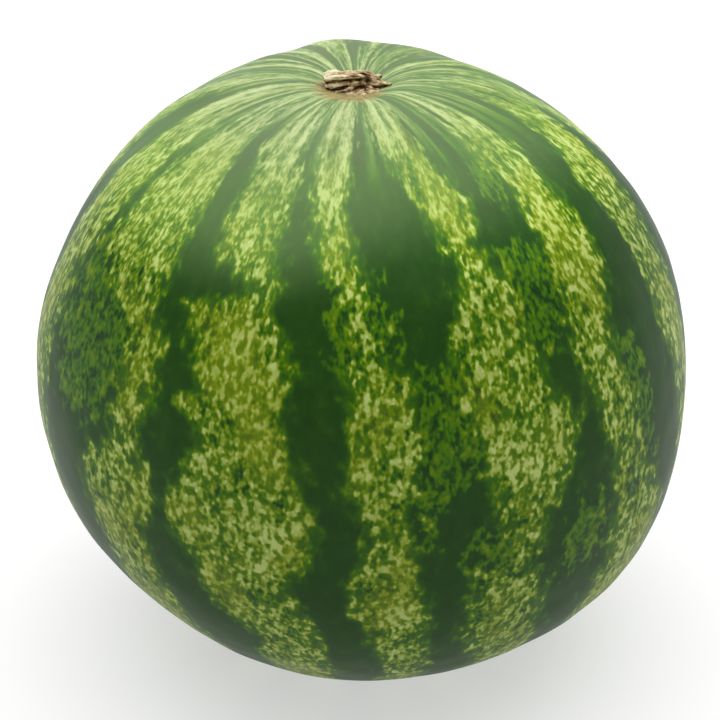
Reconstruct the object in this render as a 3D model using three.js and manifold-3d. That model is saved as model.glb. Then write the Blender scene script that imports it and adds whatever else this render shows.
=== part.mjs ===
// A whole round watermelon, as picked: the fruit, and the dry stub of its stem bent over in the hollow on top.
// Millimetres, +Z up. The origin is on the ground under the middle of the fruit, and -Y is its front.
import * as THREE from 'three';
import { mergeVertices } from 'three/addons/utils/BufferGeometryUtils.js';
import Module from 'manifold-3d';

// The fruit's profile, from the flat spot it stands on up to the stem hollow.
const fruit = {
  radius: 124.3, // at the girth, its widest
  height: 231, // ground to the rim of the stem hollow
  girthShare: 0.495, // where the girth is, as a share of the height
  restRadius: 22, // the small flat spot underneath
  rimRadius: 22, // rim of the stem hollow
  hollowDepth: 4,
  // How full the profile is: 0.552 is a round quarter, more is squarer.
  fullness: { foot: 0.575, belowGirth: 0.587, aboveGirth: 0.551, shoulder: 0.506 },
};

// Where this fruit swells out from round or falls away from it. Azimuth runs from the front towards +X and
// latitude up from the girth, with spread, all in degrees; height is a share of the distance from the middle.
const swellings = [
  { azimuth: 73, latitude: -28, spread: 20, height: 0.047 }, // low on the right
  { azimuth: 99, latitude: 16, spread: 18, height: 0.017 }, // right side
  { azimuth: 128, latitude: 53, spread: 10, height: -0.013 }, // back right shoulder
  { azimuth: -170, latitude: 61, spread: 7, height: 0.016 }, // behind the stem
  { azimuth: -149, latitude: 53, spread: 12, height: -0.012 }, // back left shoulder
  { azimuth: -108, latitude: 29, spread: 18, height: -0.027 }, // left shoulder
  { azimuth: -55, latitude: -46, spread: 22, height: -0.037 }, // low on the left
];
const fadeHeight = 30; // swellings and ribs come in over this much height above the flat spot
const calmRadius = 48; // and are gone by the rim of the hollow, starting from this radius

// Shallow ribs that run from stem to blossom end, deepest on the shoulders.
const ribs = { count: 11, depth: 0.35, turn: 69 };

// The stub: a corky oval mound in the middle of the hollow, and a bent piece of ridged stalk on it.
const stub = {
  moundRadius: 11.5, // to the sides
  moundDepth: 0.72, // front to back, as a share of its width
  moundHeight: 4.4,
  lipHeight: 0.9, // of the mound's thin outer edge
  neckRadius: 6, // of the mound where the stalk leaves it
  stalkRadius: 3.2,
  ridges: 5,
  ridgeDepth: 0.4,
  clearance: 0.3, // between the mound and the rind under it
};

const fineness = { around: 72, belowGirth: 19, aboveGirth: 19, hollow: 12, moundAround: 28 };

const smooth = (low, high, value) => THREE.MathUtils.smoothstep(value, low, high);
const radiansOf = THREE.MathUtils.degToRad;

// The curve from the rim of the hollow to its lowest point, on the axis.
function hollowCurve() {
  const { height, rimRadius, hollowDepth } = fruit;
  return new THREE.CubicBezierCurve(
    new THREE.Vector2(rimRadius, height),
    new THREE.Vector2(rimRadius * 0.6, height),
    new THREE.Vector2(rimRadius * 0.5, height - hollowDepth),
    new THREE.Vector2(0, height - hollowDepth),
  );
}

function fruitProfile() {
  const { radius, height, girthShare, restRadius, rimRadius, fullness } = fruit;
  const girth = height * girthShare;
  const crown = height - girth;
  const below = new THREE.CubicBezierCurve(
    new THREE.Vector2(restRadius, 0),
    new THREE.Vector2(restRadius + fullness.foot * (radius - restRadius), 0),
    new THREE.Vector2(radius, girth * (1 - fullness.belowGirth)),
    new THREE.Vector2(radius, girth),
  );
  const above = new THREE.CubicBezierCurve(
    new THREE.Vector2(radius, girth),
    new THREE.Vector2(radius, girth + fullness.aboveGirth * crown),
    new THREE.Vector2(rimRadius + fullness.shoulder * (radius - rimRadius), height),
    new THREE.Vector2(rimRadius, height),
  );
  return [
    new THREE.Vector2(0, 0),
    ...below.getSpacedPoints(fineness.belowGirth),
    ...above.getSpacedPoints(fineness.aboveGirth).slice(1),
    ...hollowCurve().getSpacedPoints(fineness.hollow).slice(1),
  ];
}

// A direction from the fruit's middle, as a unit vector.
function directionOf(azimuth, latitude) {
  const level = Math.cos(radiansOf(latitude));
  return new THREE.Vector3(
    level * Math.sin(radiansOf(azimuth)),
    -level * Math.cos(radiansOf(azimuth)),
    Math.sin(radiansOf(latitude)),
  );
}

function swellingTowards(direction) {
  let total = 0;
  for (const { azimuth, latitude, spread, height } of swellings) {
    const apart = direction.angleTo(directionOf(azimuth, latitude)) / radiansOf(spread);
    total += height * Math.exp(-apart * apart / 2);
  }
  return total;
}

// How far a rib stands out at this direction, in millimetres.
function ribTowards(direction) {
  const azimuth = Math.atan2(direction.x, -direction.y);
  const onShoulder = 0.35 + 0.65 * smooth(0.1, 0.8, direction.z);
  return ribs.depth * onShoulder * Math.cos(ribs.count * azimuth + radiansOf(ribs.turn));
}

function fruitGeometry() {
  const geometry = new THREE.LatheGeometry(fruitProfile(), fineness.around).rotateX(Math.PI / 2);
  const middle = new THREE.Vector3(0, 0, fruit.height * fruit.girthShare);
  const place = geometry.getAttribute('position');
  for (let i = 0; i < place.count; i++) {
    const point = new THREE.Vector3().fromBufferAttribute(place, i);
    const offAxis = Math.hypot(point.x, point.y);
    const inTop = point.z > middle.z ? smooth(fruit.rimRadius, calmRadius, offAxis) : 1;
    const share = smooth(0, fadeHeight, point.z) * inTop;
    const arm = point.clone().sub(middle);
    const direction = arm.clone().normalize();
    arm.multiplyScalar(1 + share * swellingTowards(direction));
    arm.addScaledVector(direction, share * ribTowards(direction));
    const moved = arm.add(middle);
    place.setXYZ(i, moved.x, moved.y, moved.z);
  }
  return geometry;
}

// The mound's underside follows the hollow, a clearance above it, and its top falls from the neck to a thin lip.
function moundGeometry() {
  const { moundRadius, moundDepth, moundHeight, lipHeight, neckRadius, clearance } = stub;
  const under = hollowCurve()
    .getSpacedPoints(fineness.hollow)
    .filter((point) => point.x <= moundRadius)
    .map((point) => new THREE.Vector2(point.x, point.y + clearance))
    .reverse();
  const edge = under.at(-1);
  const top = fruit.height - fruit.hollowDepth + moundHeight;
  const over = new THREE.CubicBezierCurve(
    new THREE.Vector2(edge.x, edge.y + lipHeight),
    new THREE.Vector2(neckRadius * 1.5, edge.y + lipHeight),
    new THREE.Vector2(neckRadius * 1.1, top - 0.8),
    new THREE.Vector2(neckRadius, top),
  ).getPoints(6);
  const profile = [...under, ...over, new THREE.Vector2(0, top)];
  return new THREE.LatheGeometry(profile, fineness.moundAround).rotateX(Math.PI / 2).scale(1, moundDepth, 1);
}

// A round section with shallow ridges, like a squash stalk's.
function stalkSection() {
  const { stalkRadius, ridges, ridgeDepth } = stub;
  const points = [];
  const steps = ridges * 4;
  for (let i = 0; i < steps; i++) {
    const angle = (i / steps) * 2 * Math.PI;
    const radius = stalkRadius + ridgeDepth * Math.cos(ridges * angle);
    points.push(new THREE.Vector2(radius * Math.cos(angle), radius * Math.sin(angle)));
  }
  return new THREE.Shape(points);
}

// The stalk rises out of the mound and is bent over to the left, its cut end just clear of the rind.
function stalkGeometry() {
  const floor = fruit.height - fruit.hollowDepth;
  const path = new THREE.CatmullRomCurve3([
    new THREE.Vector3(4.6, 0.6, floor + 3.4),
    new THREE.Vector3(2.2, 0.3, floor + 5),
    new THREE.Vector3(-2.5, -0.4, floor + 6.1),
    new THREE.Vector3(-7, -1, floor + 6.3),
    new THREE.Vector3(-11.5, -1.4, floor + 6.2),
  ]);
  return new THREE.ExtrudeGeometry(stalkSection(), { steps: 12, extrudePath: path, bevelEnabled: false });
}

const wasm = await Module();
wasm.setup();

// A closed geometry as a manifold-3d solid, and back.
function solidOf(geometry) {
  const bare = geometry.clone();
  bare.deleteAttribute('normal');
  bare.deleteAttribute('uv');
  const merged = mergeVertices(bare, 1e-3);
  return new wasm.Manifold(
    new wasm.Mesh({
      numProp: 3,
      vertProperties: new Float32Array(merged.getAttribute('position').array),
      triVerts: new Uint32Array(merged.index.array),
    }),
  );
}

function geometryOf(solid) {
  const { vertProperties, triVerts } = solid.getMesh();
  const geometry = new THREE.BufferGeometry();
  geometry.setAttribute('position', new THREE.BufferAttribute(vertProperties, 3));
  geometry.setIndex(new THREE.BufferAttribute(triVerts, 1));
  geometry.computeVertexNormals();
  return geometry;
}

function namedMesh(name, geometry, material) {
  const mesh = new THREE.Mesh(geometry, material);
  mesh.name = name;
  return mesh;
}

const rind = new THREE.MeshStandardMaterial({ color: 0x4a7a2b, roughness: 0.42, metalness: 0 });
const dryStem = new THREE.MeshStandardMaterial({ color: 0x9c7f58, roughness: 0.9, metalness: 0 });

const body = fruitGeometry();
const stem = geometryOf(solidOf(moundGeometry()).add(solidOf(stalkGeometry())));

// The swellings push the fruit off centre, so the whole melon is set back over the origin.
body.computeBoundingBox();
const middle = body.boundingBox.getCenter(new THREE.Vector3());

const watermelon = new THREE.Group();
watermelon.position.set(-middle.x, -middle.y, 0);
watermelon.add(namedMesh('fruit', body, rind));
watermelon.add(namedMesh('stem_stub', stem, dryStem));

export default watermelon;
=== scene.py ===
import math
import random

import bpy
import numpy as np
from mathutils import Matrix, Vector, geometry, noise


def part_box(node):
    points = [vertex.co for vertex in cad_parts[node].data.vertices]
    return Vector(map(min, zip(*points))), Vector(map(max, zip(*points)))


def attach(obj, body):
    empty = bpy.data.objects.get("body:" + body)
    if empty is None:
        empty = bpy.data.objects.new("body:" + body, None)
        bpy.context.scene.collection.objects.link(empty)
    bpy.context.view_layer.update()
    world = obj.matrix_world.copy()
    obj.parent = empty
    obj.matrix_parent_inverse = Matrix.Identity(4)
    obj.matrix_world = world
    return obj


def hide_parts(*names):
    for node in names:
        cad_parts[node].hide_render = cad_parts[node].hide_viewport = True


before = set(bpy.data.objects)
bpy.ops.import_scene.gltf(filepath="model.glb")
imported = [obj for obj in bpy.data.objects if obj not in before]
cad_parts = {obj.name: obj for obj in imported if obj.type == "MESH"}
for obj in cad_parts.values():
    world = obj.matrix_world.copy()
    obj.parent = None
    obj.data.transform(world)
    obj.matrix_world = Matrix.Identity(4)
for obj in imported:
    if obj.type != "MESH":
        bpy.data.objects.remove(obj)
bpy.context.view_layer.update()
mm = 0.001
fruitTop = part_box("fruit")[1].z / mm  # the rim of the stem hollow, in mm


# all angles are in degrees, and lengths in mm until they go into a mesh
def smooth(low, high, value):
    share = np.clip((value - low) / (high - low), 0, 1)
    return share * share * (3 - 2 * share)


def noiseAt(places):
    # smooth noise about zero, one value for each place
    return np.array([noise.noise(Vector(place)) for place in places])


def selectOnly(piece):
    bpy.ops.object.select_all(action="DESELECT")
    piece.select_set(True)
    bpy.context.view_layer.objects.active = piece


def applyModifier(piece, name, kind, **settings):
    modifier = piece.modifiers.new(name, kind)
    for setting, value in settings.items():
        setattr(modifier, setting, value)
    bpy.ops.object.modifier_apply(modifier=name)


def pointsOf(mesh):
    flat = np.empty(len(mesh.vertices) * 3)
    mesh.vertices.foreach_get("co", flat)
    return flat.reshape(-1, 3)


def normalsOf(mesh):
    return np.array([vertex.normal[:] for vertex in mesh.vertices])


def placePoints(mesh, points):
    mesh.vertices.foreach_set("co", np.asarray(points, float).ravel())
    mesh.update()


def paintPoints(mesh, name, values):
    kind = "FLOAT" if values.ndim == 1 else "FLOAT_VECTOR"
    attribute = mesh.attributes.new(name, kind, "POINT")
    slot = "value" if values.ndim == 1 else "vector"
    attribute.data.foreach_set(slot, values.ravel().astype(np.float32))


view = {
    "distance": 1.0,  # m, a long lens from about a metre
    "elevation": 29,
    "aim": (-0.8, 0, 113.9),  # mm, a little under the middle of the fruit
    "lens": 128.5,
}

light = {
    "skyTone": 0.42,  # even fill from all round
    "horizonTone": 1.0,  # a brighter band low down, as a white room gives
    "horizonBase": 0.02,  # where it starts to fade and where it ends, as sines of the elevation
    "horizonRise": 0.2,
    "boxWidth": 3.0,  # m, a wide soft box overhead
    "boxDepth": 2.2,
    "boxHeight": 1.45,
    "boxBehind": 0.45,
    "boxPower": 46,  # W
    "floorWidth": 12,
    "floorTone": 0.46,
    "floorGlow": 0.52,  # the floor is a light table, lit a little from below
}


def makeView():
    camera = bpy.data.objects.new("camera", bpy.data.cameras.new("camera"))
    bpy.context.collection.objects.link(camera)
    rise = math.radians(view["elevation"])
    aim = Vector(view["aim"]) * mm
    camera.location = aim + view["distance"] * Vector((0, -math.cos(rise), math.sin(rise)))
    camera.rotation_euler = (math.pi / 2 - rise, 0, 0)
    camera.data.lens = view["lens"]
    camera.data.clip_end = 50
    bpy.context.scene.camera = camera


def makeLight():
    sky = bpy.data.worlds.new("studio")
    bpy.context.scene.world = sky
    sky.use_nodes = True
    tree = sky.node_tree
    place = tree.nodes.new("ShaderNodeTexCoord")
    split = tree.nodes.new("ShaderNodeSeparateXYZ")
    tone = tree.nodes.new("ShaderNodeMapRange")
    tone.interpolation_type = "SMOOTHSTEP"
    tone.inputs["From Min"].default_value = light["horizonBase"]
    tone.inputs["From Max"].default_value = light["horizonRise"]
    tone.inputs["To Min"].default_value = light["horizonTone"]
    tone.inputs["To Max"].default_value = light["skyTone"]
    tree.links.new(place.outputs["Generated"], split.inputs["Vector"])
    tree.links.new(split.outputs["Z"], tone.inputs["Value"])
    tree.links.new(tone.outputs["Result"], tree.nodes["Background"].inputs["Strength"])
    tree.nodes["Background"].inputs["Color"].default_value = (1, 1, 1, 1)

    lamp = bpy.data.lights.new("softBox", "AREA")
    lamp.shape = "RECTANGLE"
    lamp.size = light["boxWidth"]
    lamp.size_y = light["boxDepth"]
    lamp.energy = light["boxPower"]
    box = bpy.data.objects.new("softBox", lamp)
    bpy.context.collection.objects.link(box)
    box.location = (0, light["boxBehind"], light["boxHeight"])


def makeFloor():
    bpy.ops.object.select_all(action="DESELECT")
    bpy.ops.mesh.primitive_plane_add(size=light["floorWidth"], location=(0, 0, 0))
    floor = bpy.context.object
    floor.name = "floor"
    paint = bpy.data.materials.new("paleFloor")
    paint.use_nodes = True
    shader = paint.node_tree.nodes["Principled BSDF"]
    tone = light["floorTone"]
    shader.inputs["Base Color"].default_value = (tone, tone, tone, 1)
    shader.inputs["Roughness"].default_value = 0.9
    shader.inputs["Emission Color"].default_value = (1, 1, 1, 1)
    shader.inputs["Emission Strength"].default_value = light["floorGlow"]
    floor.data.materials.append(paint)


makeView()
makeLight()
makeFloor()
bpy.context.scene.view_settings.view_transform = "Standard"
print("stage: camera, light and floor")


fruitShape = {
    "radius": 124.3,  # mm, at the girth
    "girthShare": 0.495,  # height of the girth, as a share of the fruit's height
    "restRadius": 22,  # flat spot underneath
    "rimRadius": 22,  # rim of the stem hollow
    "rimHandle": 0.6,  # of the curve from the rim down into it, as shares of the rim's radius
    "bottomHandle": 0.5,
    "hollowDepth": 4,
    "scarRadius": 9,  # blossom scar, a shallow recess inside the flat spot
    "scarHandle": 0.6,
    "scarRim": 14,
    "scarDepth": 1.2,
    "footFull": 0.575,  # fullness of the profile: 0.552 is a round quarter
    "belowFull": 0.587,
    "aboveFull": 0.551,
    "shoulderFull": 0.506,
    "fadeHeight": 30,  # swellings come in over this height above the flat spot
    "calmRadius": 48,  # and go again from here to the rim of the hollow
    "ribCount": 11,
    "ribDepth": 0.35,
    "ribTurn": 69,
    "dentDepth": 0.45,  # soft unevenness of the skin
    "dentSize": 26,
    "creaseDepth": 0.55,  # creases that run into the stem hollow
    "creaseFolds": 4.2,  # more gives more creases
    "creaseLength": 60,
    "stepsAround": 320,
    "quarterSteps": 88,  # from the flat spot to the girth, and from there to the rim
    "hollowSteps": 28,
    "scarSteps": 8,
    "flatSteps": 4,
    "seamGap": 0.02,  # points closer than this are joined
}

# azimuth, latitude, spread and height as a share of the distance from the middle
swellings = [
    (73, -28, 20, 0.047),  # low on the right
    (99, 16, 18, 0.017),  # right side
    (128, 53, 10, -0.013),  # back right shoulder
    (-170, 61, 7, 0.016),  # behind the stem
    (-149, 53, 12, -0.012),  # back left shoulder
    (-108, 29, 18, -0.027),  # left shoulder
    (-55, -46, 22, -0.037),  # low on the left
]


def hollowCorners(bottom):
    # the curve of the stem hollow, from its rim to its lowest point
    s = fruitShape
    rim = s["rimRadius"]
    top = bottom + s["hollowDepth"]
    return (rim, top), (rim * s["rimHandle"], top), (rim * s["bottomHandle"], bottom), (0, bottom)


def pointsOnCurve(corners, count):
    # corners are a start, two handles and an end, each as radius and height
    return geometry.interpolate_bezier(*[Vector((r, 0, z)) for r, z in corners], count)


def profileOfFruit():
    # half the outline, from the blossom scar round to the bottom of the stem hollow
    s = fruitShape
    radius, rim, rest = s["radius"], s["rimRadius"], s["restRadius"]
    girth = fruitTop * s["girthShare"]
    scar, scarRim, scarDepth = s["scarRadius"], s["scarRim"], s["scarDepth"]
    scarCurve = (0, scarDepth), (scar * s["scarHandle"], scarDepth), (scar, 0), (scarRim, 0)
    flatSpot = (scarRim, 0), (scarRim + 2, 0), (rest - 2, 0), (rest, 0)
    below = (
        (rest, 0),
        (rest + s["footFull"] * (radius - rest), 0),
        (radius, girth * (1 - s["belowFull"])),
        (radius, girth),
    )
    above = (
        (radius, girth),
        (radius, girth + s["aboveFull"] * (fruitTop - girth)),
        (rim + s["shoulderFull"] * (radius - rim), fruitTop),
        (rim, fruitTop),
    )
    points = pointsOnCurve(scarCurve, s["scarSteps"])[:-1]
    points += pointsOnCurve(flatSpot, s["flatSteps"])[:-1]
    points += pointsOnCurve(below, s["quarterSteps"])[:-1]
    points += pointsOnCurve(above, s["quarterSteps"])[:-1]
    bottom = fruitTop - s["hollowDepth"]
    points += pointsOnCurve(hollowCorners(bottom), s["hollowSteps"])[:-1]
    points.append(Vector((0, 0, bottom)))
    return points


def spinProfile(profile):
    mesh = bpy.data.meshes.new("skin")
    edges = [(i, i + 1) for i in range(len(profile) - 1)]
    mesh.from_pydata([point * mm for point in profile], edges, [])
    skin = bpy.data.objects.new("skin", mesh)
    bpy.context.collection.objects.link(skin)
    selectOnly(skin)
    bpy.ops.object.mode_set(mode="EDIT")
    bpy.ops.mesh.select_all(action="SELECT")
    bpy.ops.mesh.spin(
        steps=fruitShape["stepsAround"], angle=2 * math.pi, center=(0, 0, 0), axis=(0, 0, 1)
    )
    bpy.ops.mesh.select_all(action="SELECT")
    bpy.ops.mesh.remove_doubles(threshold=fruitShape["seamGap"] * mm)
    bpy.ops.mesh.normals_make_consistent(inside=False)
    bpy.ops.object.mode_set(mode="OBJECT")
    return skin


def anglesOf(points, girth):
    # azimuth from the front (-Y) towards +X, and latitude up from the girth
    azimuth = np.degrees(np.arctan2(points[:, 0], -points[:, 1]))
    offAxis = np.hypot(points[:, 0], points[:, 1])
    return azimuth, np.degrees(np.arctan2(points[:, 2] - girth, offAxis)), offAxis


def directionOf(azimuth, latitude):
    a, l = math.radians(azimuth), math.radians(latitude)
    return np.array([math.cos(l) * math.sin(a), -math.cos(l) * math.cos(a), math.sin(l)])


def swellSkin(points, girth):
    # points in mm, as spun; returns them pushed in and out like the real fruit
    s = fruitShape
    middle = np.array([0, 0, girth])
    arm = points - middle
    direction = arm / np.linalg.norm(arm, axis=1, keepdims=True)
    azimuth, latitude, offAxis = anglesOf(points, girth)
    inTop = np.where(points[:, 2] > girth, smooth(s["rimRadius"], s["calmRadius"], offAxis), 1)
    share = smooth(0, s["fadeHeight"], points[:, 2]) * inTop
    swell = np.zeros(len(points))
    for swellAzimuth, swellLatitude, spread, height in swellings:
        closeness = np.clip(direction @ directionOf(swellAzimuth, swellLatitude), -1, 1)
        swell += height * np.exp(-((np.degrees(np.arccos(closeness)) / spread) ** 2) / 2)
    onShoulder = 0.35 + 0.65 * smooth(0.1, 0.8, direction[:, 2])
    rib = s["ribDepth"] * onShoulder * np.cos(np.radians(s["ribCount"] * azimuth + s["ribTurn"]))
    dents = noiseAt(points / s["dentSize"]) + 0.5 * noiseAt(points / s["dentSize"] * 2.3)
    turn = np.radians(azimuth)
    folds = s["creaseFolds"]
    creases = noiseAt(
        np.column_stack([folds * np.sin(turn), folds * np.cos(turn), offAxis / s["creaseLength"]])
    )
    # the creases fade at the bottom of the hollow and out on the shoulder
    nearStem = (points[:, 2] > girth) * smooth(7, 16, offAxis) * (1 - smooth(26, 60, offAxis))
    outward = share * (rib + s["dentDepth"] * dents) + s["creaseDepth"] * nearStem * creases
    return middle + arm * (1 + share * swell)[:, None] + direction * outward[:, None]


# each pale stripe: latitude, left edge and right edge, from the stem down to the blossom end
paleStripes = [
    [  # far left
        (70, -86, -70), (56, -81, -66), (45, -83, -67), (35, -85, -70), (14, -82, -70), (-2, -80, -71),
        (-20, -79, -67), (-45, -77, -63), (-75, -80, -62),
    ],
    [  # left
        (74, -62, -46), (60, -61, -45), (48, -62, -43), (40, -62, -42), (35, -61, -43), (31, -56, -43),
        (27, -45, -38), (16, -44, -39), (8, -44, -40), (3, -50, -38), (-1, -53, -37), (-8, -53, -41),
        (-17, -50, -39), (-30, -51, -37), (-50, -48, -35), (-75, -50, -34),
    ],
    [  # left of the middle
        (74, -36, -22), (66, -36, -22), (58, -32, -20), (49, -33, -19), (43, -30, -18), (38, -26, -17),
        (34, -33, -17), (27, -30, -13), (21, -27, -14), (18, -31, -14), (14, -24, -13), (8, -28, -10),
        (0, -32, -8), (-6, -30, -9), (-10, -27, -12), (-14, -27, -13), (-20, -24, -10), (-28, -18, -8),
        (-38, -18, -6), (-56, -21, -7), (-76, -24, -6),
    ],
    [  # middle
        (74, -14, 0), (64, -13, -2), (55, -11, -4), (46, -8, -1), (40, -4, 3), (35, -3, 4), (29, 0, 6),
        (24, 1, 9), (14, 1, 9), (8, -1, 8), (3, 2, 8), (-4, 3, 9), (-10, 0, 9), (-17, 1, 11),
        (-24, 5, 11), (-36, 7, 13), (-55, 8, 17), (-76, 8, 22),
    ],
    [  # right of the middle
        (76, 6, 24), (66, 9, 27), (60, 14, 27), (52, 19, 31), (46, 20, 29), (42, 23, 29), (36, 20, 32),
        (28, 18, 32), (20, 20, 34), (15, 21, 38), (6, 24, 38), (0, 25, 34), (-6, 26, 31), (-11, 22, 30),
        (-18, 21, 33), (-26, 22, 34), (-38, 26, 38), (-56, 27, 43), (-76, 30, 50),
    ],
    [  # right
        (72, 44, 60), (60, 46, 60), (52, 47, 58), (42, 47, 58), (32, 44, 56), (24, 44, 52), (14, 46, 53),
        (4, 49, 54), (-4, 49, 58), (-12, 50, 64), (-26, 50, 67), (-50, 52, 68), (-76, 58, 72),
    ],
    [  # far right
        (70, 82, 94), (56, 80, 92), (48, 72, 90), (40, 73, 87), (30, 73, 84), (18, 70, 82), (4, 74, 83),
        (-14, 73, 84), (-45, 75, 90), (-76, 82, 100),
    ],
]

# mottled mid-green patches in the dark between the stripes, each a short stripe of its own
mottledPatches = [
    [(40, -64, -44), (30, -67, -44), (18, -66, -46), (8, -62, -50)],
    [(41, -7, 4), (34, -6, 8), (27, -4, 9)],
    [(27, 12, 19), (20, 10, 22), (10, 10, 22), (4, 9, 14)],
    [(43, 33, 45), (36, 33, 45), (27, 35, 42)],
    [(58, 38, 46), (52, 38, 46)],
    [(-3, 20, 30), (-12, 19, 31), (-21, 21, 32)],
    [(-2, 39, 46), (-9, 37, 47), (-16, 38, 46)],
    [(22, 53, 57), (12, 53, 60), (-2, 55, 60)],
    [(6, 8, 12), (-3, 9, 12)],
]

# where a band breaks up into dots: azimuth, latitude, reach across and down, and by how many mm it thins
# there; below zero it is fuller
thinSpots = [
    (-58, 66, 7, 6, 6),
    (-52, 50, 5, 7, -3),
    (-53, 29, 6, 4, 3),
    (-33, 70, 6, 5, 5),
    (-32, 53, 4, 4, 4),
    (-30, 41, 4, 6, -4),
    (-25, 38, 7, 6, 12),
    (-31, 27, 3, 5, 3),
    (-24, 16, 6, 3, -4),
    (-22, 6, 6, 4, -3),
    (-40, 6, 4, 4, 4),
    (-22, -12, 8, 4, 2),
    (-1, 36, 6, 5, 6),
    (-3, 25, 3, 5, -4),
    (5, 0, 6, 5, 3),
    (28, 66, 6, 5, 5),
    (24, 46, 8, 4, 8),
    (19, 36, 3, 4, 4),
    (27, 33, 5, 3, -3),
    (27, -9, 7, 5, 4),
    (20, -11, 3, 4, -4),
    (28, -17, 4, 3, 3),
    (43, -28, 5, 7, -4),
    (56, 71, 10, 7, 8),
    (40, 54, 4, 3, -4),
    (51, 40, 3, 4, -3),
    (52, 28, 5, 4, 5),
    (53, -3, 3, 4, -4),
]

# where bands and patches are lighter or darker than elsewhere: azimuth, latitude, reach across and down,
# and by how much
toneSpots = [
    (29, 12, 9, 12, 0.08),
    (50, 38, 7, 9, 0.07),
    (-20, 0, 9, 10, 0.05),
    (16, 15, 6, 9, -0.04),
    (39, 33, 5, 9, -0.05),
    (-56, 20, 9, 14, -0.03),
]

hiddenStripes = {
    "count": 8,
    "firstAzimuth": 104,
    "spacing": 22,
    "uneven": 2,  # a stripe may start this far from its even place
    "latitudes": (76, -80, -7),  # first, last and step
    "halfWidth": (3.8, 7.8),
    "wander": 1.3,  # of the middle, at each step
    "patchTops": [40, 20, 0],
    "patchDrops": (0, 14, 26),  # down from the top
    "patchAside": 5,
    "patchWidth": 7,
    "thinSpots": 3,
    "spotAside": 6,
    "spotLatitude": 50,
    "spotReach": (7, 6),
    "spotThins": (3, 7),
    "seed": 41,
}


def addHiddenStripes():
    # the far side, in the same style: stripes whose width and middle wander as they go down
    h = hiddenStripes
    chance = random.Random(h["seed"])
    for number in range(h["count"]):
        middle = h["firstAzimuth"] + number * h["spacing"] + chance.uniform(-h["uneven"], h["uneven"])
        stripe, patch = [], []
        for latitude in range(*h["latitudes"]):
            half = chance.uniform(*h["halfWidth"])
            middle += chance.uniform(-h["wander"], h["wander"])
            stripe.append((latitude, middle - half, middle + half))
        paleStripes.append(stripe)
        patchTop = chance.choice(h["patchTops"])
        side = chance.choice([-1, 1])
        near = middle + side * h["patchAside"]
        far = near + side * h["patchWidth"]
        for drop in h["patchDrops"]:
            patch.append((patchTop - drop, min(near, far), max(near, far)))
        mottledPatches.append(patch)
        for spot in range(h["thinSpots"]):
            spotAzimuth = middle + chance.uniform(-h["spotAside"], h["spotAside"])
            spotLatitude = chance.uniform(-h["spotLatitude"], h["spotLatitude"])
            thinSpots.append((spotAzimuth, spotLatitude, *h["spotReach"], chance.uniform(*h["spotThins"])))


edgeReach = 15  # mm to either side of an edge that a mask runs over


def turnFrom(start, azimuth):
    # degrees from start round to azimuth, the shorter way
    return (azimuth - start + 180) % 360 - 180


def insideStripe(azimuth, latitude, stripe, endless):
    # how far inside its edges each point lies, in mm at the girth; negative is outside
    stations = sorted(stripe)
    heights = [station[0] for station in stations]
    left = np.interp(latitude, heights, [station[1] for station in stations])
    right = np.interp(latitude, heights, [station[2] for station in stations])
    inside = (right - left) / 2 - np.abs(turnFrom((left + right) / 2, azimuth))
    if not endless:
        inside = np.minimum(inside, np.minimum(latitude - heights[0], heights[-1] - latitude))
    return inside * fruitShape["radius"] * math.pi / 180


def insideAny(azimuth, latitude, stripes, endless=True):
    return np.max([insideStripe(azimuth, latitude, stripe, endless) for stripe in stripes], axis=0)


def spotShare(azimuth, latitude, spot):
    # 1 in the middle of a spot, fading to 0 round it
    aside = turnFrom(spot[0], azimuth) / spot[2]
    return np.exp(-(aside ** 2) - ((latitude - spot[1]) / spot[3]) ** 2)


def paintStripes(mesh, azimuth, latitude, alongSkin):
    pale = insideAny(azimuth, latitude, paleStripes)
    for spot in thinSpots:
        pale = pale - spot[4] * spotShare(azimuth, latitude, spot)
    mottled = insideAny(azimuth, latitude, mottledPatches, endless=False)
    lighter = sum(spot[4] * spotShare(azimuth, latitude, spot) for spot in toneSpots)
    paintPoints(mesh, "pale", np.clip(pale, -edgeReach, edgeReach))
    paintPoints(mesh, "mottled", np.clip(mottled, -edgeReach, edgeReach))
    paintPoints(mesh, "lighter", lighter)
    # the skin rolled out round a drum of the girth's radius, so patterns narrow into streaks at the ends
    turn = np.radians(azimuth)
    drum = fruitShape["radius"]
    paintPoints(mesh, "rolled", np.column_stack([drum * np.sin(turn), -drum * np.cos(turn), alongSkin]))


# how the skin is cut and unrolled flat for its texture, in mm
unrolling = {"capReach": 62, "gap": 6}


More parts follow.
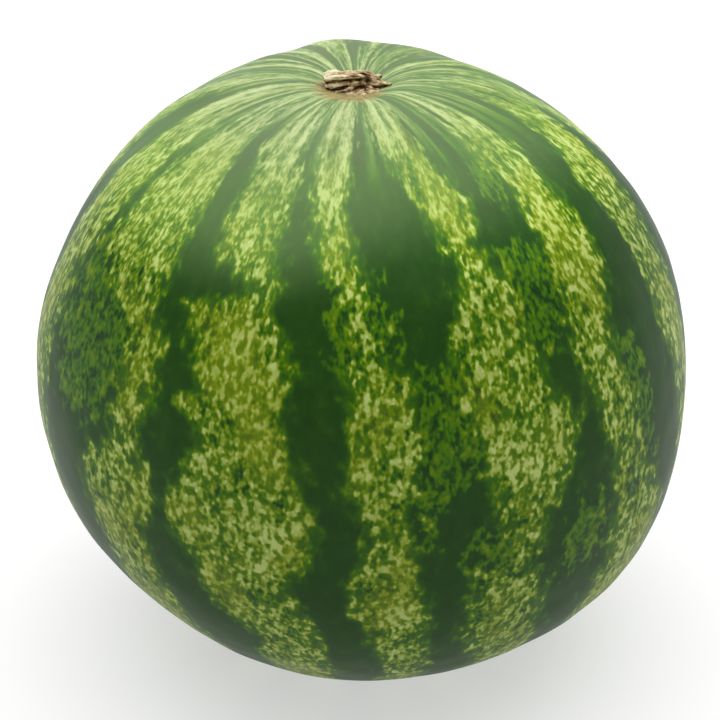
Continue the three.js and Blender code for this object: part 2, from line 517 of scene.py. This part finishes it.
def unrollSkin(mesh, azimuth, alongSkin, whole):
    # a front and a back strip, one above the other, and beside them a round piece for each end
    cap, gap = unrolling["capReach"], unrolling["gap"]
    drum = fruitShape["radius"]
    vertexOf = np.empty(len(mesh.loops), int)
    mesh.loops.foreach_get("vertex_index", vertexOf)
    corners = np.empty(len(mesh.polygons), int)
    mesh.polygons.foreach_get("loop_total", corners)
    faceOf = np.repeat(np.arange(len(corners)), corners)

    def ofFace(values):
        # the mean over each face, handed back to its corners
        return (np.bincount(faceOf, values) / corners)[faceOf]

    along = alongSkin[vertexOf]
    turn = np.radians(azimuth)[vertexOf]
    inBack = ofFace(np.cos(turn)) < 0
    inTop = ofFace(along) < cap
    inFoot = ofFace(along) > whole - cap
    stripHeight = whole - 2 * cap
    stripWidth = math.pi * drum
    across = np.where(inBack, turn % (2 * math.pi) - math.pi, turn) * drum + stripWidth / 2
    up = whole - cap - along + inBack * (stripHeight + gap)
    discMiddle = stripWidth + gap + cap
    topDisc = inTop, along, cap, -1
    footDisc = inFoot, whole - along, 3 * cap + gap, 1
    for part, reach, height, side in (topDisc, footDisc):
        across = np.where(part, discMiddle + reach * np.sin(turn), across)
        up = np.where(part, height + side * reach * np.cos(turn), up)
    widest = max(stripWidth + gap + 2 * cap, 2 * stripHeight + gap) + gap
    places = (np.column_stack([across, up]) + gap / 2) / widest
    layer = mesh.uv_layers.new(name="OFBake")
    layer.data.foreach_set("uv", places.ravel().astype(np.float32))


# where the skin turns corky, in mm: round the stem, most to the front left, and on the blossom scar
corkShape = {"middle": (-3.5, -5.0), "halfWidth": 12.5, "halfDepth": 13.0, "scarRadius": 10}


def paintCork(mesh, points, offAxis):
    # mm inside the corky skin, roughly; negative is outside
    c = corkShape
    aside = (points[:, 0] - c["middle"][0]) / c["halfWidth"]
    ahead = (points[:, 1] - c["middle"][1]) / c["halfDepth"]
    byStem = c["halfDepth"] * (1 - np.hypot(aside, ahead))
    byBlossom = c["scarRadius"] - offAxis
    inside = np.where(points[:, 2] > fruitTop / 2, byStem, byBlossom)
    paintPoints(mesh, "cork", np.clip(inside, -edgeReach, edgeReach))


def makeSkin():
    girth = fruitTop * fruitShape["girthShare"]
    profile = profileOfFruit()
    skin = spinProfile(profile)
    asSpun = pointsOf(skin.data) / mm
    azimuth, latitude, offAxis = anglesOf(asSpun, girth)
    rings = np.array([(p.x, 0, p.z) for p in profile])
    ringLatitude = np.degrees(np.arctan2(rings[:, 2] - girth, rings[:, 0]))
    ringLength = np.concatenate([[0], np.cumsum(np.linalg.norm(np.diff(rings, axis=0), axis=1))])
    fromBlossom = np.interp(latitude, ringLatitude, ringLength)
    fromStem = ringLength[-1] - fromBlossom
    paintStripes(skin.data, azimuth, latitude, fromStem)
    paintCork(skin.data, asSpun, offAxis)
    unrollSkin(skin.data, azimuth, fromStem, ringLength[-1])
    moved = swellSkin(asSpun, girth)
    middle = (moved.min(axis=0) + moved.max(axis=0)) / 2
    setBack = np.array([-middle[0], -middle[1], 0])  # the swellings push the fruit off centre
    placePoints(skin.data, (moved + setBack) * mm)
    bpy.ops.object.shade_smooth()
    return skin, setBack


def fromHex(code):
    channels = [int(code[i : i + 2], 16) / 255 for i in (0, 2, 4)]
    return tuple(c / 12.92 if c <= 0.04045 else ((c + 0.055) / 1.055) ** 2.4 for c in channels) + (1,)


class Nodes:
    # a short way to add nodes to a tree and join them
    def __init__(self, tree):
        self.tree = tree

    def add(self, kind, settings=None, **inputs):
        node = self.tree.nodes.new(kind)
        for name, value in (settings or {}).items():
            setattr(node, name, value)
        for name, value in inputs.items():
            self.feed(node, name.replace("_", " "), value)
        return node

    def feed(self, node, name, value):
        socket = node.inputs[int(name)] if name.isdigit() else node.inputs[name]
        if isinstance(value, bpy.types.NodeSocket):
            self.tree.links.new(value, socket)
        else:
            socket.default_value = value

    def math(self, operation, first, second=0.0, third=0.0):
        node = self.add("ShaderNodeMath", {"operation": operation})
        for number, value in enumerate((first, second, third)):
            self.feed(node, str(number), value)
        return node.outputs[0]

    def vector(self, operation, first, second):
        node = self.add("ShaderNodeVectorMath", {"operation": operation})
        self.feed(node, "0", first)
        self.feed(node, "1", second)
        return node.outputs["Vector"]

    def attribute(self, name, output="Fac"):
        return self.add("ShaderNodeAttribute", {"attribute_name": name}).outputs[output]

    def ramp(self, value, low, high, toLow=0.0, toHigh=1.0, kind="SMOOTHSTEP"):
        # from low to high, value goes over from toLow to toHigh
        node = self.add("ShaderNodeMapRange", {"interpolation_type": kind}, From_Min=low, From_Max=high)
        self.feed(node, "Value", value)
        self.feed(node, "To Min", toLow)
        self.feed(node, "To Max", toHigh)
        return node.outputs["Result"]

    def mix(self, share, first, second):
        node = self.add("ShaderNodeMix", {"data_type": "RGBA"})
        self.feed(node, "0", share)
        self.feed(node, "6", first)
        self.feed(node, "7", second)
        return node.outputs[2]

    def colours(self, level, steps):
        # a colour for each level, from steps of a level and its colour
        node = self.add("ShaderNodeValToRGB", Fac=level)
        stops = node.color_ramp.elements
        while len(stops) < len(steps):
            stops.new(0.5)
        for stop, (place, code) in zip(stops, steps):
            stop.position = place
            stop.color = fromHex(code)
        return node.outputs["Color"]

    def relief(self, shader, height, strength):
        # height in mm
        bump = self.add("ShaderNodeBump", Height=height, Distance=1 * mm, Strength=strength)
        self.feed(shader, "Normal", bump.outputs["Normal"])

    def group(self, tree, **inputs):
        return self.add("ShaderNodeGroup", {"node_tree": tree}, **inputs).outputs[0]


def newGroup(name, inputs, output):
    # a node group of number inputs, after a vector, with one output
    tree = bpy.data.node_groups.new(name, "ShaderNodeTree")
    tree.interface.new_socket(name="Vector", in_out="INPUT", socket_type="NodeSocketVector")
    for label in inputs:
        tree.interface.new_socket(name=label, in_out="INPUT", socket_type="NodeSocketFloat")
    tree.interface.new_socket(name=output, in_out="OUTPUT", socket_type="NodeSocketFloat")
    n = Nodes(tree)
    return tree, n, n.add("NodeGroupInput").outputs, n.add("NodeGroupOutput")


def perGrain(n, given):
    # the place in grains: Size in the units of Vector, and Stretch times as long along its z
    perSize = n.math("DIVIDE", 1, given["Size"])
    along = n.math("DIVIDE", perSize, given["Stretch"])
    scale = n.add("ShaderNodeCombineXYZ", X=perSize, Y=perSize, Z=along).outputs["Vector"]
    return n.vector("MULTIPLY", given["Vector"], scale)


def makeMottle():
    # soft unevenness about zero, with Amount its strength
    tree, n, given, result = newGroup("mottle", ["Size", "Stretch", "Detail", "Amount"], "Value")
    cloud = n.add("ShaderNodeTexNoise", Vector=perGrain(n, given), Scale=1, Detail=given["Detail"])
    centred = n.math("SUBTRACT", cloud.outputs["Fac"], 0.5)
    n.feed(result, "Value", n.math("MULTIPLY", centred, given["Amount"]))
    return tree


def makeDots():
    # round dots of uneven strength, 0 to 1, about Size apart
    tree, n, given, result = newGroup("dots", ["Size", "Stretch"], "Value")
    cellsOf = n.add("ShaderNodeTexVoronoi", Vector=perGrain(n, given), Scale=1, Randomness=1)
    chance = n.add("ShaderNodeSeparateXYZ", Vector=cellsOf.outputs["Color"]).outputs["X"]
    dot = n.ramp(cellsOf.outputs["Distance"], 0.12, 0.55, 1, 0)
    n.feed(result, "Value", n.math("MULTIPLY", dot, chance))
    return tree


def newMaterial(name, **constants):
    material = bpy.data.materials.new(name)
    material.use_nodes = True
    shader = material.node_tree.nodes["Principled BSDF"]
    for socket, value in constants.items():
        shader.inputs[socket.replace("_", " ")].default_value = value
    return material, Nodes(material.node_tree), shader


mottle = makeMottle()
dots = makeDots()

rindLook = {
    "roughness": 0.42,
    "sheen": 0.12,
    # greens from the dark of the stripes to the flecks of the bands, each after its level
    "greens": [
        (0.0, "132e08"), (0.15, "1e410e"), (0.32, "396404"), (0.43, "4d6b00"), (0.53, "637b0a"),
        (0.65, "7e9433"), (0.85, "a6b66a"),
    ],
    "yellow": "8c9418",  # in patches, where the sun has been
    "bloomAndSheen": "89a66c",  # a pale veil on the shoulders: partly the waxy bloom, partly a painted sheen of the light from above
    "crown": "b2ba96",  # creamy, round the stem: partly the skin's own colour, partly a painted sheen of the light from above
    "corkDark": "7d6c43",
    "corkPale": "b3a274",
    # size in mm, stretch along the stripes, fineness, strength, and a shift to a place of its own
    "grains": {
        "lobes": (12, 1.2, 1.5, 1, 0),
        "blotches": (6, 1.2, 1.0, 1, 0),
        "cells": (2.7, 1.4, 1.0, 1, 0),
        "specks": (1.6, 1.3, 0.5, 1, 0),
        "patches": (30, 1.5, 1.0, 1, 0),
        "tints": (12, 1.5, 1.0, 1, 300),
        "streaks": (9, 6, 1.0, 1.6, 80),
    },
    "dotSize": 2.6,  # mm
    "smallDotSize": 1.56,
    "edgeLobes": 12,  # mm by which these move the edge of a band
    "edgeBlotches": 12,
    "edgeCells": 13,
    "bandEdge": (-5, 4),  # mm inside its edge, where each of these starts and is full
    "patchEdge": (-4, 5),
    "haloEdge": (-9, -1),
    "corkEdge": (-1.5, 2.5),
    "darkLevel": 0.13,  # of the stripes
    "patchLevel": 0.27,
    "upperBandLevel": 0.55,
    "lowerBandLevel": 0.46,
    "crownBandLevel": -0.12,  # less than upper bands
    "haloLevel": 0.12,  # more, along the edge of a band
    "stemLevel": 0.2,  # at least this by the stem
    "bandGrain": 0.23,
    "patchGrain": 0.13,
    "bandDots": 0.22,
    "patchDots": 0.12,
    "crownGrain": 0.6,  # share of the grain and the dots that is left by the stem
    "streakStrength": 1.1,
    "paintedLightAboveTone": 1.45,  # painted light: brightness of the skin above the girth, as if lit from above; 1 elsewhere
    # painted light: less of it close to the stem
    "paintedLightCrownTone": 0.84,
    # painted shade: the skin darker underneath
    "paintedShadeBelowTone": 0.85,
    "bloomAndSheenShare": 0.28,
    "creamAndSheenShare": 0.34,
    "yellowShare": 0.45,
    "corkShare": 0.85,
    # mm from the stem, down the skin, between which each of these comes or goes
    "crownBands": (25, 75),
    "upperBands": (92, 124),
    "calmGrain": (45, 115),
    "paleStem": (30, 90),
    "streaksFade": (40, 80),
    "paintedLightCrownFade": (40, 80),
    "paintedLightAboveFade": (90, 124),
    "paintedShadeBelowFade": (130, 250),
    "bloomAndSheenFade": (76, 112),
    "creamAndSheenFade": (22, 84),
    "bloomAndSheenTilt": (-8, 12),  # mm by which the bloom and its painted sheen reach lower on the left and end higher on the right
    "reliefStrength": 0.6,
}


def rindLevel(n, grains, rolled, fromStem):
    # how light the skin is, from the dark stripes to the flecks of the bands, and where the bands are;
    # fromStem, pale and mottled are in mm
    look = rindLook
    blotches, cells = grains["blotches"], grains["cells"]
    pale = n.attribute("pale")

    # soft edges that wander: 0 in the dark, 1 well inside a band or a patch
    wander = n.math("MULTIPLY", grains["lobes"], look["edgeLobes"])
    wander = n.math("MULTIPLY_ADD", blotches, look["edgeBlotches"], wander)
    wander = n.math("MULTIPLY_ADD", cells, look["edgeCells"], wander)
    inPale = n.ramp(n.math("ADD", pale, wander), *look["bandEdge"])
    inMottled = n.ramp(n.math("ADD", n.attribute("mottled"), wander), *look["patchEdge"])
    inEither = n.math("MAXIMUM", inMottled, inPale)

    def inBoth(bandShare, patchShare, start, end, least):
        # a strength that rises to its full share inside bands and patches
        inBand = n.ramp(inPale, start, end, least, bandShare)
        return n.math("MAXIMUM", inBand, n.ramp(inMottled, start, end, least, patchShare))

    halo = n.ramp(n.math("MULTIPLY_ADD", wander, 0.5, pale), *look["haloEdge"], 0, look["haloLevel"])
    inPatch = n.ramp(inMottled, 0, 1, look["darkLevel"], look["patchLevel"], "LINEAR")
    level = n.math("MAXIMUM", inPatch, n.math("ADD", halo, look["darkLevel"]))
    inBand = n.ramp(fromStem, *look["upperBands"], look["upperBandLevel"], look["lowerBandLevel"])
    inBand = n.math("MULTIPLY_ADD", grains["tints"], 0.5, inBand)
    inBand = n.math("ADD", inBand, n.ramp(fromStem, *look["crownBands"], look["crownBandLevel"], 0))
    level = n.math("MULTIPLY_ADD", inPale, n.math("SUBTRACT", inBand, level), level)

    # grain and dots, calmer by the stem
    fine = n.ramp(fromStem, *look["calmGrain"], look["crownGrain"], 1)
    grain = n.ramp(n.math("MULTIPLY_ADD", grains["specks"], 0.5, cells), -0.2, 0.2, -1, 1)
    grainShare = inBoth(look["bandGrain"], look["patchGrain"], 0, 0.7, 0.01)
    level = n.math("MULTIPLY_ADD", grain, n.math("MULTIPLY", grainShare, fine), level)
    bigDots = n.group(dots, Vector=rolled, Size=look["dotSize"], Stretch=1.3)
    smallDots = n.group(dots, Vector=rolled, Size=look["smallDotSize"], Stretch=1.2)
    dotShare = inBoth(look["bandDots"], look["patchDots"], 0.05, 0.6, 0.02)
    bothDots = n.math("ADD", bigDots, smallDots)
    level = n.math("MULTIPLY_ADD", bothDots, n.math("MULTIPLY", dotShare, fine), level)
    level = n.math("MULTIPLY_ADD", blotches, n.ramp(inEither, 0, 1, 0.15, 0.5, "LINEAR"), level)
    level = n.math("MULTIPLY_ADD", n.attribute("lighter"), inEither, level)

    # near the stem the dark stripes pale, and long streaks run in to it
    lift = n.ramp(fromStem, *look["paleStem"], look["stemLevel"], 0)
    level = n.math("MAXIMUM", level, n.math("MULTIPLY_ADD", cells, 0.4, lift))
    streaky = n.ramp(fromStem, *look["streaksFade"], look["streakStrength"], 0)
    level = n.math("MULTIPLY_ADD", grains["streaks"], streaky, level)
    return level, inPale


def rindColour(n, grains, fromStem, across, level, inPale):
    look = rindLook
    colour = n.colours(level, look["greens"])
    sunny = n.math("MULTIPLY", n.ramp(grains["patches"], 0.0, 0.12, 0, look["yellowShare"]), inPale)
    colour = n.mix(sunny, colour, n.mix(0.5, colour, fromHex(look["yellow"])))

    # painted light and shade: brighter above the girth as if lit from above, less so close to the stem,
    # and darker underneath as painted shade
    paintedLightAbove = n.ramp(fromStem, *look["paintedLightAboveFade"], look["paintedLightAboveTone"], 1)
    crown = n.ramp(fromStem, *look["paintedLightCrownFade"], look["paintedLightCrownTone"], 1)
    paintedShadeBelow = n.ramp(fromStem, *look["paintedShadeBelowFade"], 1, look["paintedShadeBelowTone"])
    tone = n.math("MULTIPLY", n.math("MULTIPLY", paintedLightAbove, crown), paintedShadeBelow)
    colour = n.vector("MULTIPLY", colour, tone)

    # a pale veil on the skin from the shoulder up, more on the left, turning creamy at the crown: partly
    # the waxy bloom and the creamy skin by the stem, partly a painted sheen of the light from above
    fromBloomAndSheen = n.math("ADD", fromStem, n.ramp(across, -45, 45, *look["bloomAndSheenTilt"]))
    waxyAndSheen = n.ramp(fromBloomAndSheen, *look["bloomAndSheenFade"], look["bloomAndSheenShare"], 0)
    colour = n.mix(waxyAndSheen, colour, fromHex(look["bloomAndSheen"]))
    creamyAndSheen = n.ramp(fromBloomAndSheen, *look["creamAndSheenFade"], look["creamAndSheenShare"], 0)
    creamyAndSheen = n.math("MULTIPLY", creamyAndSheen, n.ramp(level, 0.2, 0.65, 0.4, 1.6))  # most on the bands
    colour = n.mix(creamyAndSheen, colour, fromHex(look["crown"]))

    # corky skin with a ragged edge
    ragged = n.math("MULTIPLY_ADD", grains["cells"], 8, n.attribute("cork"))
    ragged = n.math("MULTIPLY_ADD", grains["blotches"], 10, ragged)
    cork = n.mix(n.ramp(grains["cells"], -0.15, 0.2), fromHex(look["corkDark"]), fromHex(look["corkPale"]))
    return n.mix(n.ramp(ragged, *look["corkEdge"], 0, look["corkShare"]), colour, cork)


def makeRind():
    look = rindLook
    material, n, shader = newMaterial(
        "rind", Roughness=look["roughness"], IOR=1.45, Specular_IOR_Level=look["sheen"]
    )
    rolled = n.attribute("rolled", "Vector")
    sides = n.add("ShaderNodeSeparateXYZ", Vector=rolled).outputs
    grains = {}
    for name, (size, stretch, detail, amount, shift) in look["grains"].items():
        where = n.vector("ADD", rolled, (shift, shift, shift))
        settings = {"Size": size, "Stretch": stretch, "Detail": detail, "Amount": amount}
        grains[name] = n.group(mottle, Vector=where, **settings)
    level, inPale = rindLevel(n, grains, rolled, sides["Z"])
    n.feed(shader, "Base Color", rindColour(n, grains, sides["Z"], sides["X"], level, inPale))
    height = n.math("MULTIPLY_ADD", grains["cells"], 0.03, n.math("MULTIPLY", level, 0.05))
    n.relief(shader, height, look["reliefStrength"])
    return material


addHiddenStripes()
skin, setBack = makeSkin()
skin.data.materials.append(makeRind())
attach(skin, "root")
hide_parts("fruit")
print("fruit: skin,", len(skin.data.polygons), "faces")

stemShape = {
    # x, y and height over the bottom of the hollow, then the radius there, in mm
    "stalk": [
        (6.0, 4.5, 0.5, 3.2), (4.6, 3.6, 2.3, 3.0), (2.0, 2.4, 3.9, 2.8), (-1.5, 1.3, 4.5, 2.6),
        (-4.8, 0.6, 4.6, 2.7), (-8.0, 0.1, 4.5, 3.1), (-10.2, -0.3, 4.3, 3.3), (-11.8, -0.5, 4.1, 2.6),
    ],
    "roots": [
        [(3.0, 2.5, 2.4, 2.0), (7.0, 1.4, 2.4, 1.7), (10.0, 0.9, 2.1, 1.2), (13.0, 0.8, 2.3, 0.7)],
        [(3.0, 4.0, 2.6, 2.0), (6.5, 6.5, 2.2, 1.6), (9.0, 8.8, 2.2, 0.8)],
        [(1.5, 3.5, 2.4, 1.9), (-0.5, 7.0, 1.8, 1.4), (-1.5, 10.0, 1.9, 0.7)],
        [(0.5, 0.5, 1.8, 1.3), (-4.0, -2.0, 0.8, 0.9), (-8.0, -3.8, 1.0, 0.6)],
    ],
    "baseMiddle": (1.2, 2.2),
    "baseHalfWidth": 9.5,
    "baseHalfDepth": 6.4,
    "baseHeight": 1.5,
    "baseThickness": 1.2,
    "baseRings": 8,
    "baseGap": 0.15,  # over the skin
    "baseLobes": 0.3,  # unevenness of its edge, as a share of its size
    "ridges": 5,
    "ridgeDepth": 0.2,  # as a share of the radius
    "tornDepth": 1.3,  # of the hollow in the torn end
    "fineness": 0.26,  # of the joined surface
    "fibreDepth": 0.16,
    "fibreGrain": (1.5, 1.5, 0.22),  # turns of the noise per mm, across, across and along
    "knobbleDepth": 0.5,
    "knobbleGrain": 0.42,
    "tornRoughness": 0.7,
    "tornGrain": 0.9,
    "pits": [(4.4, 1.0, 5.6, 1.5), (-0.6, -1.6, 6.4, 1.2), (-4.2, 3.2, 6.6, 1.3), (8.4, 2.6, 3.6, 1.2)],
    "pitDepth": 1.1,
    "creaseShade": 0.75,  # how dark these are, 0 to 1
    "lowShade": 0.12,
    "underShade": 0.85,
    "pitShade": 0.8,
}


def hollowHeight(offAxis):
    # height of the skin over the bottom of the hollow
    curve = pointsOnCurve(hollowCorners(0), 40)[::-1]
    return np.interp(offAxis, [p.x for p in curve], [p.z for p in curve])


def makeRod(name, route, ridges, sides, steps=30):
    # a straight rod by extrusion, with ridges pinched into its first ring, then bent along the route
    bpy.ops.object.select_all(action="DESELECT")
    bpy.ops.mesh.primitive_circle_add(vertices=sides, radius=1, fill_type="NGON", location=(0, 0, 0))
    rod = bpy.context.object
    rod.name = name
    mesh = rod.data
    if ridges:
        for vertex in mesh.vertices:
            angle = math.atan2(vertex.co.y, vertex.co.x)
            vertex.co *= 1 + stemShape["ridgeDepth"] * math.cos(ridges * angle)
    bpy.ops.object.mode_set(mode="EDIT")
    bpy.ops.mesh.select_all(action="SELECT")
    for step in range(steps):
        bpy.ops.mesh.extrude_region_move(TRANSFORM_OT_translate={"value": (0, 0, 1)})
    bpy.ops.mesh.inset(thickness=0.25)
    bpy.ops.mesh.inset(thickness=0.3)
    bpy.ops.transform.translate(value=(0, 0, -stemShape["tornDepth"] / 2))
    bpy.ops.mesh.select_all(action="SELECT")
    bpy.ops.mesh.normals_make_consistent(inside=False)
    bpy.ops.object.mode_set(mode="OBJECT")
    points = pointsOf(mesh)
    stations = np.array(route)
    shares = np.linspace(0, 1, len(route))

    def onRoute(share):
        return np.column_stack([np.interp(share, shares, stations[:, axis]) for axis in range(3)])

    along = np.clip(points[:, 2] / steps, 0, 1)
    nudge = 0.5 / steps
    heading = onRoute(along + nudge) - onRoute(along - nudge)
    heading /= np.linalg.norm(heading, axis=1, keepdims=True)
    side = np.cross(heading, [0, 0, 1.0])
    side /= np.linalg.norm(side, axis=1, keepdims=True)
    up = np.cross(side, heading)
    radius = np.interp(along, shares, stations[:, 3])[:, None]
    sunk = (points[:, 2] / steps - along)[:, None] * steps
    placed = onRoute(along) + radius * (points[:, :1] * side + points[:, 1:2] * up) + sunk * heading
    placePoints(mesh, placed * mm)
    return rod


def makeBase():
    # a thin corky disc with an uneven edge that hugs the hollow
    s = stemShape
    bpy.ops.object.select_all(action="DESELECT")
    bpy.ops.mesh.primitive_circle_add(vertices=56, radius=1, fill_type="NGON", location=(0, 0, 0))
    base = bpy.context.object
    bpy.ops.object.mode_set(mode="EDIT")
    bpy.ops.mesh.select_all(action="SELECT")
    for ring in range(s["baseRings"]):
        bpy.ops.mesh.inset(thickness=0.11)
    bpy.ops.object.mode_set(mode="OBJECT")
    points = pointsOf(base.data)
    reach = np.hypot(points[:, 0], points[:, 1])
    turn = np.arctan2(points[:, 1], points[:, 0])
    lobes = noiseAt(np.column_stack([1.8 * np.cos(turn), 1.8 * np.sin(turn), np.full(len(turn), 3.1)]))
    reach = reach * (1 + s["baseLobes"] * lobes)
    x = s["baseMiddle"][0] + s["baseHalfWidth"] * reach * np.cos(turn)
    y = s["baseMiddle"][1] + s["baseHalfDepth"] * reach * np.sin(turn)
    z = hollowHeight(np.hypot(x, y)) + s["baseHeight"] * (1 - smooth(0.35, 1, reach)) + s["baseGap"]
    placePoints(base.data, np.column_stack([x, y, z]) * mm)
    selectOnly(base)
    applyModifier(base, "thicken", "SOLIDIFY", thickness=s["baseThickness"] * mm, offset=-1)
    return base


def nearestOnRoutes(points, routes):
    # for each point: fibre coordinates (across, across, along), how far along, and which route is nearest
    best = np.full(len(points), 1e9)
    fibre = np.zeros((len(points), 3))
    share = np.zeros(len(points))
    which = np.zeros(len(points), int)
    for number, route in enumerate(routes):
        stations = np.array(route)
        travelled = 0.0
        whole = sum(np.linalg.norm(b[:3] - a[:3]) for a, b in zip(stations, stations[1:]))
        for a, b in zip(stations, stations[1:]):
            step = b[:3] - a[:3]
            length = np.linalg.norm(step)
            heading = step / length
            t = np.clip((points - a[:3]) @ heading / length, 0, 1)
            offset = points - a[:3] - t[:, None] * step
            away = np.linalg.norm(offset, axis=1) - (a[3] + t * (b[3] - a[3]))
            side = np.cross(heading, [0, 0, 1.0])
            side /= np.linalg.norm(side)
            up = np.cross(side, heading)
            closer = away < best
            where = np.column_stack([offset @ side, offset @ up, travelled + t * length])
            best = np.where(closer, away, best)
            fibre = np.where(closer[:, None], where, fibre)
            share = np.where(closer, (travelled + t * length) / whole, share)
            which = np.where(closer, number, which)
            travelled += length
    return fibre, share, which


def roughenStem(points, normals, fibre, share, which):
    s = stemShape
    apart = np.outer(which, [0, 0, 9])  # so that each root has fibres of its own
    outward = s["fibreDepth"] * noiseAt(fibre * s["fibreGrain"] + apart)
    outward += s["knobbleDepth"] * noiseAt(points * s["knobbleGrain"])
    torn = (which == 0) * smooth(0.88, 1, share)
    outward += torn * s["tornRoughness"] * noiseAt(points * s["tornGrain"])
    pitted = np.zeros(len(points))
    for x, y, z, radius in s["pits"]:
        away = np.linalg.norm(points - [x, y, z], axis=1) / radius
        pitted = np.maximum(pitted, np.exp(-(away ** 2)))
    outward -= s["pitDepth"] * pitted
    return points + outward[:, None] * normals, pitted


def shadeOfStem(mesh, points, normals, pitted):
    # 0 on open ridges, 1 in creases, pits and under the stalk
    s = stemShape
    edges = np.empty(len(mesh.edges) * 2, int)
    mesh.edges.foreach_get("vertices", edges)
    a, b = edges.reshape(-1, 2).T
    count = np.bincount(a, minlength=len(points)) + np.bincount(b, minlength=len(points))

    def average(values):
        total = np.zeros_like(values)
        np.add.at(total, a, values[b])
        np.add.at(total, b, values[a])
        return total / (count[:, None] if values.ndim == 2 else count)

    around = points
    for turn in range(6):
        around = average(around)
    dip = np.einsum("ij,ij->i", around - points, normals)
    low = 1 - smooth(0.3, 3.4, points[:, 2] - hollowHeight(np.hypot(points[:, 0], points[:, 1])))
    under = smooth(-0.05, 0.6, -normals[:, 2])
    shade = s["creaseShade"] * smooth(0.0, 0.12, dip) + s["lowShade"] * low
    shade += s["underShade"] * under + s["pitShade"] * pitted
    for turn in range(2):
        shade = average(shade)
    return np.clip(shade, 0, 1)


def makeStem():
    s = stemShape
    pieces = [makeRod("stemStub", s["stalk"], s["ridges"], 40)]
    pieces += [makeRod("root", route, 0, 12, 10) for route in s["roots"]]
    pieces.append(makeBase())
    bpy.ops.object.select_all(action="DESELECT")
    for piece in pieces:
        piece.select_set(True)
    stem = pieces[0]
    bpy.context.view_layer.objects.active = stem
    bpy.ops.object.join()
    applyModifier(stem, "weld", "REMESH", mode="VOXEL", voxel_size=s["fineness"] * mm)
    applyModifier(stem, "soften", "SMOOTH", factor=0.5, iterations=4)
    mesh = stem.data
    points = pointsOf(mesh) / mm
    fibre, share, which = nearestOnRoutes(points, [s["stalk"]] + s["roots"])
    points, pitted = roughenStem(points, normalsOf(mesh), fibre, share, which)
    placePoints(mesh, points * mm)
    paintPoints(mesh, "fibre", fibre)
    paintPoints(mesh, "shade", shadeOfStem(mesh, points, normalsOf(mesh), pitted))
    paintPoints(mesh, "torn", (which == 0) * smooth(0.62, 0.9, share))
    floorOfHollow = fruitTop - fruitShape["hollowDepth"]
    placePoints(mesh, (points + setBack + [0, 0, floorOfHollow]) * mm)
    selectOnly(stem)
    bpy.ops.object.shade_smooth()
    return stem


stemLook = {
    "roughness": 0.85,
    "sheen": 0.25,
    # browns from the creases to the torn end, each after its level
    "browns": [(0.0, "2a1c08"), (0.28, "6a5233"), (0.52, "a58c66"), (0.72, "cfc09c"), (0.95, "dcd6b4")],
    "fibreSize": 0.7,  # mm
    "fleckSize": 1.1,
    "level": 0.62,  # of plain open skin, and how much each of these changes it
    "fibres": 1.1,
    "flecks": 1.3,
    "torn": 0.22,
    "shade": -0.85,
    "reliefStrength": 0.7,
}


def makeDryStem():
    look = stemLook
    material, n, shader = newMaterial(
        "dryStem", Roughness=look["roughness"], IOR=1.45, Specular_IOR_Level=look["sheen"]
    )
    fibre = n.attribute("fibre", "Vector")
    fibres = n.group(mottle, Vector=fibre, Size=look["fibreSize"], Stretch=7, Detail=2, Amount=1)
    flecks = n.group(mottle, Vector=fibre, Size=look["fleckSize"], Stretch=1.5, Detail=2, Amount=1)
    level = n.math("MULTIPLY_ADD", flecks, look["flecks"], look["level"])
    level = n.math("MULTIPLY_ADD", fibres, look["fibres"], level)
    level = n.math("MULTIPLY_ADD", n.attribute("torn"), look["torn"], level)
    level = n.math("MULTIPLY_ADD", n.attribute("shade"), look["shade"], level)
    n.feed(shader, "Base Color", n.colours(level, look["browns"]))
    height = n.math("MULTIPLY_ADD", fibres, 0.35, n.math("MULTIPLY", flecks, 0.2))
    n.relief(shader, height, look["reliefStrength"])
    return material


stem = makeStem()
stem.data.materials.clear()
stem.data.materials.append(makeDryStem())
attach(stem, "root")
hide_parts("stem_stub")
print("stem: stub,", len(stem.data.polygons), "faces")
